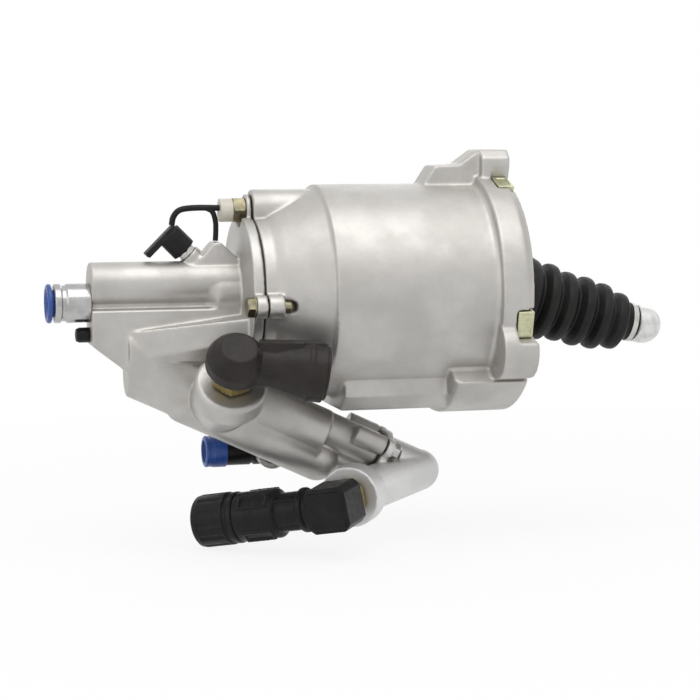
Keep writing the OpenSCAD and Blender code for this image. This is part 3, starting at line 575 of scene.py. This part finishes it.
housing = cast_skin("housing_casting", welded_copy("cylinder_housing"), 0.9, 3, [
    (IN_SERVO, 60.0, -112.0, 60.0, -22.0),
    (IN_SERVO, 46.0, -137.0, 58.0, -112.0),
    (IN_SERVO, 65.0, -19.5, 65.0, -5.0),
    (IN_SERVO, 71.0, -40.0, 71.0, -1.0),
    (IN_SERVO, 43.0, -148.0, 43.0, -142.0),
    (IN_SERVO, 51.0, -108.0, 51.0, -12.0),
    (IN_SERVO, 53.5, -12.0, 53.5, -1.0),
])
piece("housing_casting", housing, "cast_alloy", stands_for=["cylinder_housing"])
valve = cast_skin("valve_casting", welded_copy("valve_body"), 0.8, 3, [
    (shift(0, 0, 5.5) @ IN_SERVO, 12.5, TUBE_END_X, 12.5, CASTING_X),
    (IN_SERVO, 43.0, -154.8, 43.0, CASTING_X),
    (along_x(IN_VALVE @ shift(0, 0, -4)), 15.0, -60.0, 15.0, 68.0),
    (along_x(IN_VALVE), 10.5, 68.0, 10.5, 101.0),
    (IN_UPPER, 20.0, -13.0, 20.0, -2.0),
])
recess_under_tube(valve)
piece("valve_casting", valve, "cast_alloy", stands_for=["valve_body"])
supply = cast_skin("supply_casting", welded_copy("supply_elbow"), 0.6, 4)
piece("supply_casting", supply, "pale_alloy", stands_for=["supply_elbow"])

# Boot


def boot_centre(x):
    """Centre and tilt of the boot's section at x: on the servo axis at the neck, then on the folds' axis."""
    share = min(max((x - 3) / 14, 0), 1)
    share = share * share * (3 - 2 * share)
    pivot = IN_FOLDS.translation
    slope = ROD_HANG + FOLD_TILT
    if x > COLLAR_START:
        blend = min((x - COLLAR_START) / 5, 1)
        slope -= FOLD_TILT * blend
        return (1 - blend) * (pivot.z - FOLD_RISE * (x - pivot.x)) - blend * ROD_FALL * (x - BALL_X), slope
    return share * (pivot.z - FOLD_RISE * (x - pivot.x)), slope * share


def boot_piece(name, profile, wall):
    """Part of the boot from a profile of (radius, x), each ring tilted with the rod, with an inside."""
    line = rounded([(r, x, 1.6) for r, x in profile], 1.6, 5)[1:-1]
    line = [Vector((profile[0][0], profile[0][1])), *line, Vector((profile[-1][0], profile[-1][1]))]
    sides = 96
    points, faces = [], []
    rings = [(p.x, p.y) for p in line] + [(max(p.x - wall, 0.5), p.y) for p in reversed(line)]
    for r, x in rings:
        z, tilt = boot_centre(x)
        turn = spin(tilt, "Y")
        for k in range(sides):
            a = 2 * math.pi * k / sides
            points.append(shift(x, 0, z) @ turn @ Vector((0, r * math.cos(a), r * math.sin(a))))
    count = len(rings)
    for i in range(count):
        j = (i + 1) % count
        for k in range(sides):
            m = (k + 1) % sides
            faces.append((i * sides + k, i * sides + m, j * sides + m, j * sides + k))
    mesh = shade(moved(mesh_of(name, points, faces), Matrix.Identity(4)), 60)
    made = new_object(name, mesh)
    mesh.materials.append(RUBBER)
    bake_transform(made)
    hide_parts("boot")
    return made


ROD_FALL = math.tan(math.radians(ROD_HANG))
FOLD_RISE = math.tan(math.radians(ROD_HANG + FOLD_TILT))
fold_cos = math.cos(math.radians(ROD_HANG + FOLD_TILT))
pitch = 11.6
first_crest = 44.5


def fold_x(along):
    """X of a place along the folds' axis."""
    return IN_FOLDS.translation.x + (along - FOLD_PIVOT) * fold_cos


COLLAR_START = fold_x(first_crest + 5 * pitch + 3)
neck = [(27.0, -6.7), (27.4, -1.0), (26.6, 2.6), (20.6, 3.3), (25.4, 4.3), (20.2, 5.3), (24.6, 6.3), (19.4, 7.3)]
boot_piece("boot_front", neck, 1.2)
folds = [(19.4, 7.3), (21.6, 9.0)]
crest_r = [22.6, 22.6, 20.7, 20.7, 19.7, 16.9]
valley_r = [17.2, 16.6, 15.4, 14.8, 13.6]
for k in range(6):
    x = fold_x(first_crest + pitch * k)
    folds += [(crest_r[k] - 0.4, x - 2.4), (crest_r[k], x), (crest_r[k] - 0.4, x + 2.4)]
    if k < 5:
        dip = x + pitch * fold_cos / 2
        folds += [(valley_r[k] + 0.3, dip - 0.7), (valley_r[k] + 0.3, dip + 0.7)]
end = BALL_X + (first_crest + pitch * 5 + 7.0) * math.cos(math.radians(ROD_HANG))
folds += [(11.4, end - 1.4), (10.8, end), (10.8, end + 5.2)]
boot_piece("boot_rear", folds, 1.7)

# Bleed screw's cap and strap

cap = cast_skin("dust_cap", welded_copy("bleed_cap"), 0.35, 4)
piece("dust_cap", cap, "rubber_black", stands_for=["bleed_cap"])
strap_place = shift(CASTING_X, 0, 0)
over = [(-43.4, 0, 38.0), (-42.4, 0, 42.6), (-38.6, 0, 46.4), (-30, 0, 47.5), (-16.6, 0, 47.3)]
under = [(-24, 0, 47.3), (-20.4, 0, 45.2), (-18.7, 0, 40), (-18.5, 0, 35), (-18.8, 0, 29.0)]
strap = joined(tube("cap_strap", over, 1.7, strap_place), tube("cap_strap", under, 1.5, strap_place))
piece("cap_strap", strap, "rubber_black", stands_for=["cap_strap"])
screw = joined(
    hexagon("bleed_screw", 9.5, 2, 5, IN_BLEED, bottom=True),
    lathe("bleed_screw", [(0, -7), (3.6, -7), (4, -6), (4, 2.1), (3, 2.1), (3, 13), (2.2, 14), (0, 14)], IN_BLEED, 48),
)
piece("bleed_screw", screw, "steel", stands_for=["bleed_screw"])

# Fasteners

for k, angle in enumerate((0, 186, 318)):
    seat = spin(angle, "X") @ shift(CASTING_X - 6, 46, 0) @ spin(-90, "Y")
    head = joined(
        hexagon("seam_bolt", 10, 0.7, 5, seat),
        lathe("seam_bolt", [(0, 0), (5.9, 0), (5.9, 0.9), (0, 0.9)], seat, 64, 0.2),
        lathe("seam_bolt", [(0, -20), (2.7, -20), (3, -19.5), (3, 0.2), (0, 0.2)], seat, 48, 0.1),
    )
    piece(f"seam_bolt_{k + 1}", shade(head, 25), "zinc_plate", stands_for=["seam_bolts"])
stud_place = along_x(shift(CASTING_X, 0, STUD_Z))
nut = hexagon("tie_nut", 13, -9.5, -2.5, stud_place, bore=4.0, bottom=True)
piece("tie_nut", nut, "zinc_plate", stands_for=["tie_nut"])
stud = joined(
    screw_thread("tie_stud", 4.0, 1.25, -13.9, -2, stud_place),
    lathe("tie_stud", [(0, -2.4), (3.7, -2.4), (3.7, 15.8), (0, 15.8)], stud_place, 48, 0.2),
)
piece("tie_stud", stud, "steel", stands_for=["tie_stud"])
for k, angle in enumerate((40, 160, 280)):
    seat = along_x(IN_VALVE @ spin(angle, "X") @ shift(0, 14, 0))
    head = joined(
        hexagon("supply_screw", 8, 106.4, 110, seat),
        lathe("supply_screw", [(0, 106), (4.9, 106), (4.9, 106.6), (0, 106.6)], seat, 48, 0.15),
        lathe("supply_screw", [(0, 89), (2.5, 89), (2.5, 106.2), (0, 106.2)], seat, 40, 0.1),
    )
    piece(f"supply_screw_{k + 1}", shade(head, 25), "steel", stands_for=["supply_screws"])

# Plain boxes for the small moulded and formed details


def block(name, low, high, place, drop=0.0):
    """A box between two corners, as a part of a larger form. Its far X side comes in by drop at the low Z end."""
    corners = [(x, y, z) for x in (low[0], high[0]) for y in (low[1], high[1]) for z in (low[2], high[2])]
    corners = [(x - (drop if x == high[0] and z == low[2] else 0), y, z) for x, y, z in corners]
    sides = [(0, 1, 3, 2), (4, 6, 7, 5), (0, 4, 5, 1), (2, 3, 7, 6), (0, 2, 6, 4), (1, 5, 7, 3)]
    return moved(mesh_of(name, corners, sides), place)


# End cover: each lug has a raised frame round its window

frames = []
for angle in (71, 109, 194.5, 345.5):
    at = spin(angle, "X")
    frames += [
        block("frame", (-10.7, 63.2, -7.5), (-9.3, 65.0, 7.5), at),
        block("frame", (-2.9, 63.2, -7.5), (-1.5, 65.0, 7.5), at),
        block("frame", (-10.7, 63.2, -7.5), (-1.5, 65.0, -5.7), at),
        block("frame", (-10.7, 63.2, 5.7), (-1.5, 65.0, 7.5), at),
    ]
cover = cast_skin("cover_plate", joined(welded_copy("end_cover"), *frames), 0.5, 2)
piece("cover_plate", cover, "zinc_plate", stands_for=["end_cover"], material=PALE_ZINC)



def coil(name, node):
    """A copy of a spring's coils, as the CAD node holds them."""
    made = new_object(name, nodes[node].data.copy())
    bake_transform(made)
    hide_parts(node)


coil("preload_coil", "preload_spring")
coil("control_coil", "control_spring")
coil("valve_coil", "valve_spring")
rod = nodes["pushrod"]
rod.data.materials.clear()
rod.data.materials.append(PALE_STEEL)

# Push-in fittings

body = lathe("inlet_fitting", [
    (4, -9.5), (6.4, -9.5), (6.4, -0.8), (9.6, -0.8), (10.8, 0.2), (10.8, 12.4), (9.9, 13.4), (9.9, 15.4), (10.8, 16.2),
    (10.8, 19.2), (10.2, 19.8), (8.0, 19.8), (7.45, 19.2), (7.45, 7.8), (6.1, 7.6), (6.1, 1.8), (4, 1.8),
], IN_INLET, 128, 0.35)
piece("inlet_body", shade(body), "nickel", stands_for=["inlet_fitting"])


def collet(name, head_r, place, rides, node, skirt=()):
    """Release ring of a push-in fitting, with a dished face."""
    ring = lathe(name, [
        (6.1, -9), (7.4, -9), (7.4, 1.4), *skirt, (head_r - 0.2, 1.4), (head_r, 1.8), (head_r, 3.1), (head_r - 0.8, 3.8),
        (head_r - 2.2, 3.8), (head_r - 2.7, 3.2), (7.2, 3.2), (6.1, 2.4),
    ], place, 96, 0.25)
    piece(name, shade(ring), "blue_plastic", rides, [node])


collet("inlet_release", 10.8, IN_INLET @ shift(0, 0, 19.8), "inlet_collet", "inlet_collet")
skirt = [(8.6, 1.4), (8.6, -8.4), (9.1, -8.6), (9.2, -8.0), (9.2, -1.2), (9.0, -0.8)]
collet("side_release", 9.0, IN_SIDE @ shift(0, 0, 33), "side_collet", "side_collet", skirt)
body = joined(
    lathe("side_body", [
        (4, -4), (7.8, -4), (8.4, -3), (8.4, 8), (7.7, 8.5), (7.7, 10), (8.4, 10.5), (8.4, 26.5), (7.8, 27.2),
        (7.8, 28.4), (8.4, 29), (8.4, 33), (7.45, 33), (7.45, 21), (6.1, 20.8), (6.1, 15), (4, 15),
    ], IN_SIDE, 96, 0.3),
    lathe("side_body", [(0, -16), (4.6, -16), (5, -15.4), (5, -7), (0, -7)], IN_SIDE @ spin(-90, "X"), 64, 0.2),
)
piece("side_body", shade(body), "black_plastic", stands_for=["side_fitting"])
plug = lathe("vent_cap", [
    (0, -7), (3, -7), (3, 0), (4.2, 0), (4.2, 5.6), (3.4, 7.5), (1.9, 7.5), (1.9, 5.6), (0, 5.6),
], shift(TUBE_END_X, 0, -22) @ spin(-90, "Y"), 64, 0.3)
piece("vent_cap", shade(plug), "black_plastic", stands_for=["vent_plug"])

# Brass adapters and the plastic elbows that turn on them


def adapter(name, foot, place, node):
    made = joined(
        hexagon(name, 19.9, 0.9, 7.6, place, bore=4.0, bottom=True),
        lathe(name, [(4, -foot), (6.7, -foot), (7, -foot + 0.6), (7, -0.3), (8.6, -0.3), (8.6, 1), (4, 1)], place, 72, 0.2),
        lathe(name, [(4, 7.5), (9.4, 7.5), (9.4, 9.2), (7, 9.2), (7, 14.4), (4, 14.4)], place, 72, 0.2),
    )
    piece(name, shade(made, 25), "brass", stands_for=[node])


adapter("upper_nipple", 11, IN_UPPER, "upper_adapter")
adapter("lower_nipple", 9.5, IN_LOWER, "lower_adapter")
UPPER_ARM = along_x(IN_UPPER @ shift(0, 0, 18.2))
LOWER_ARM = along_x(IN_LOWER @ shift(0, 0, 21.5))


CLIP = UPPER_ARM @ spin(134, "Z")
upper = cast_skin("upper_moulding", joined(
    welded_copy("elbow_upper"),
    block("web", (4, -8.5, 11), (15.6, 8.5, 34), CLIP, 2.6),
    block("clip", (10, -6.5, 27), (16.9, 6.5, 46.5), CLIP, 1.7),
    lathe("lug", [(14, 37.5), (16.7, 38.5), (16.7, 40.5), (14, 41.5)], UPPER_ARM, 96, 0.2),
), 0.4, 8, [
    (UPPER_ARM, 16.0, 42.0, 16.0, 48.0),
])
piece("upper_moulding", upper, "black_plastic", "upper_elbow", ["elbow_upper"], BROWN)
ring = lathe("upper_lip", [(7.2, 47.9), (14.5, 47.9), (14.5, 49.2), (13.9, 49.8), (7.2, 49.8)], UPPER_ARM, 96, 0.3)
piece("upper_lip", shade(ring), "black_plastic", "upper_elbow", ["upper_end_ring"], BROWN)
SIDES = [LOWER_ARM @ spin(turn, "Z") for turn in (45, 135, 225, 315)]
lower = cast_skin("lower_moulding", joined(
    welded_copy("elbow_lower"),
    lathe("collar", [(10, 31), (13.4, 33), (14, 34), (14, 45), (10, 46)], LOWER_ARM, 96, 0.2),
    lathe("collar", [(10, 15), (12.6, 15.6), (12.6, 18.4), (10, 19)], LOWER_ARM, 96, 0.2),
    *[block("window", (13, -4.5, 36), (14.8, -2.9, 53), at) for at in SIDES],
    *[block("window", (13, 2.9, 36), (14.8, 4.5, 53), at) for at in SIDES],
    *[block("window", (13, -4.5, 35), (14.8, 4.5, 36.6), at) for at in SIDES],
    *[block("window", (13, -4.5, 52), (14.8, 4.5, 53.6), at) for at in SIDES],
    *[block("rib", (9, -0.9, 16), (12.3, 0.9, 33), at) for at in SIDES],
    block("cap", (-10.2, -10.2, 31), (10.2, 10.2, 33.6), IN_LOWER),
), 0.4, 3, [
    (LOWER_ARM, 14.0, 46.5, 14.0, 57.5),
])
piece("lower_moulding", lower, "black_plastic", "lower_elbow", ["elbow_lower"])


def fluted(name, profile, place, count, depth, low, high, steps=240):
    """A lathe whose outside has count shallow flutes between two heights."""
    made = lathe(name, profile, place, steps, 0.35)
    back = Matrix.Scale(MM, 4) @ place
    to_frame = back.inverted()
    for vertex in made.vertices:
        at = to_frame @ vertex.co
        radius = math.hypot(at.x, at.y)
        if radius > 12.5 and low < at.z < high:
            wave = max(math.cos(count * math.atan2(at.y, at.x)), 0) ** 2
            shrink = 1 - depth * wave / radius
            vertex.co = back @ Vector((at.x * shrink, at.y * shrink, at.z))
    return made


grip = [(15, low + step) for low in range(66, 80, 2) for step in (0, 1)]
nut = fluted("coupling_nut", [
    (10.5, 58.1), (14.2, 58.1), (14.6, 58.8), (14.6, 61.2), (13.7, 61.9), (13.7, 63.3), (15, 64.2),
    *grip, (15, 80.5), (14.6, 83), (13.6, 84), (11.6, 84), (10.5, 83),
], LOWER_ARM, 12, 0.8, 65, 79.5)
piece("coupling_nut", shade(nut), "black_plastic", "lower_elbow", ["lower_end_nut"])

# Camera, lights, floor

camera = bpy.data.objects.new("camera", bpy.data.cameras.new("camera"))
scene.collection.objects.link(camera)
camera.location = (-0.40644, -1.20667, 0.09674)
turn_angle, dip_angle = math.radians(14.7), math.radians(6.0)
ahead = Vector((
    math.sin(turn_angle) * math.cos(dip_angle), math.cos(turn_angle) * math.cos(dip_angle), -math.sin(dip_angle),
))
camera.rotation_euler = ahead.to_track_quat("-Z", "Y").to_euler()
camera.data.sensor_width = 36
camera.data.lens = 113.14
camera.data.clip_start = 0.01
camera.data.clip_end = 50
scene.camera = camera


def lamp(name, place, target, size, power, colour=(1, 1, 1)):
    data = bpy.data.lights.new(name, "AREA")
    data.shape = "RECTANGLE"
    data.size, data.size_y = size
    data.energy = power
    data.color = colour
    made = bpy.data.objects.new(name, data)
    scene.collection.objects.link(made)
    made.location = place
    made.rotation_euler = (Vector(target) - Vector(place)).to_track_quat("-Z", "Y").to_euler()
    return made


middle = Vector((-0.09, 0, -0.03))
lamp("top_box", (-0.12, -0.45, 1.05), middle, (1.2, 1.0), 6.9, (1.0, 0.99, 0.98))
lamp("left_box", (-1.3, -0.5, 0.45), middle, (0.7, 0.9), 1.5, (1.0, 0.995, 0.985))
lamp("back_box", (0.6, 1.3, 0.7), middle, (1.0, 0.8), 2.0)

def seen_directly(tree):
    """1 for rays from the camera and for those that a gloss or glass sends on, 0 for the rest."""
    path = tree.nodes.new("ShaderNodeLightPath")
    total = path.outputs["Is Camera Ray"]
    for other in ("Is Glossy Ray", "Is Transmission Ray"):
        most = tree.nodes.new("ShaderNodeMath")
        most.operation = "MAXIMUM"
        tree.links.new(total, most.inputs[0])
        tree.links.new(path.outputs[other], most.inputs[1])
        total = most.outputs[0]
    return total


world = bpy.data.worlds.new("studio")
scene.world = world
world.use_nodes = True
tree = world.node_tree
tree.nodes.clear()
room = tree.nodes.new("ShaderNodeBackground")
room.inputs["Color"].default_value = (0.98, 0.98, 1.0, 1)
room.inputs["Strength"].default_value = 0.62
white = tree.nodes.new("ShaderNodeBackground")
white.inputs["Color"].default_value = (1, 1, 1, 1)
white.inputs["Strength"].default_value = 1.0
pick = tree.nodes.new("ShaderNodeMixShader")
out = tree.nodes.new("ShaderNodeOutputWorld")
tree.links.new(seen_directly(tree), pick.inputs["Fac"])
tree.links.new(room.outputs[0], pick.inputs[1])
tree.links.new(white.outputs[0], pick.inputs[2])
tree.links.new(pick.outputs[0], out.inputs["Surface"])

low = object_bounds()[0]
floor_mesh = mesh_of("floor", [(-6, -6, 0), (6, -6, 0), (6, 6, 0), (-6, 6, 0)], [(0, 1, 2, 3)])
floor = new_object("floor", floor_mesh)
floor.location.z = low.z - 0.0005
paint = bpy.data.materials.new("floor")
paint.use_nodes = True
tree = paint.node_tree
tree.nodes.clear()
matt = tree.nodes.new("ShaderNodeBsdfDiffuse")
matt.inputs["Color"].default_value = (0.95, 0.95, 0.95, 1)
glow = tree.nodes.new("ShaderNodeEmission")
glow.inputs["Strength"].default_value = 1.0
spot = tree.nodes.new("ShaderNodeTexCoord")
reach = tree.nodes.new("ShaderNodeVectorMath")
reach.operation = "LENGTH"
tree.links.new(spot.outputs["Object"], reach.inputs[0])
fade = tree.nodes.new("ShaderNodeMapRange")
fade.interpolation_type = "SMOOTHSTEP"
for key, number in (("From Min", 0.2), ("From Max", 0.75), ("To Min", 0.86), ("To Max", 1.0)):
    fade.inputs[key].default_value = number
tree.links.new(reach.outputs["Value"], fade.inputs["Value"])
keep = tree.nodes.new("ShaderNodeMath")
keep.operation = "MULTIPLY"
pick = tree.nodes.new("ShaderNodeMixShader")
out = tree.nodes.new("ShaderNodeOutputMaterial")
tree.links.new(seen_directly(tree), keep.inputs[0])
tree.links.new(fade.outputs["Result"], keep.inputs[1])
tree.links.new(keep.outputs[0], pick.inputs["Fac"])
tree.links.new(matt.outputs[0], pick.inputs[1])
tree.links.new(glow.outputs[0], pick.inputs[2])
tree.links.new(pick.outputs[0], out.inputs["Surface"])
floor_mesh.materials.append(paint)

scene.view_settings.view_transform = "Standard"
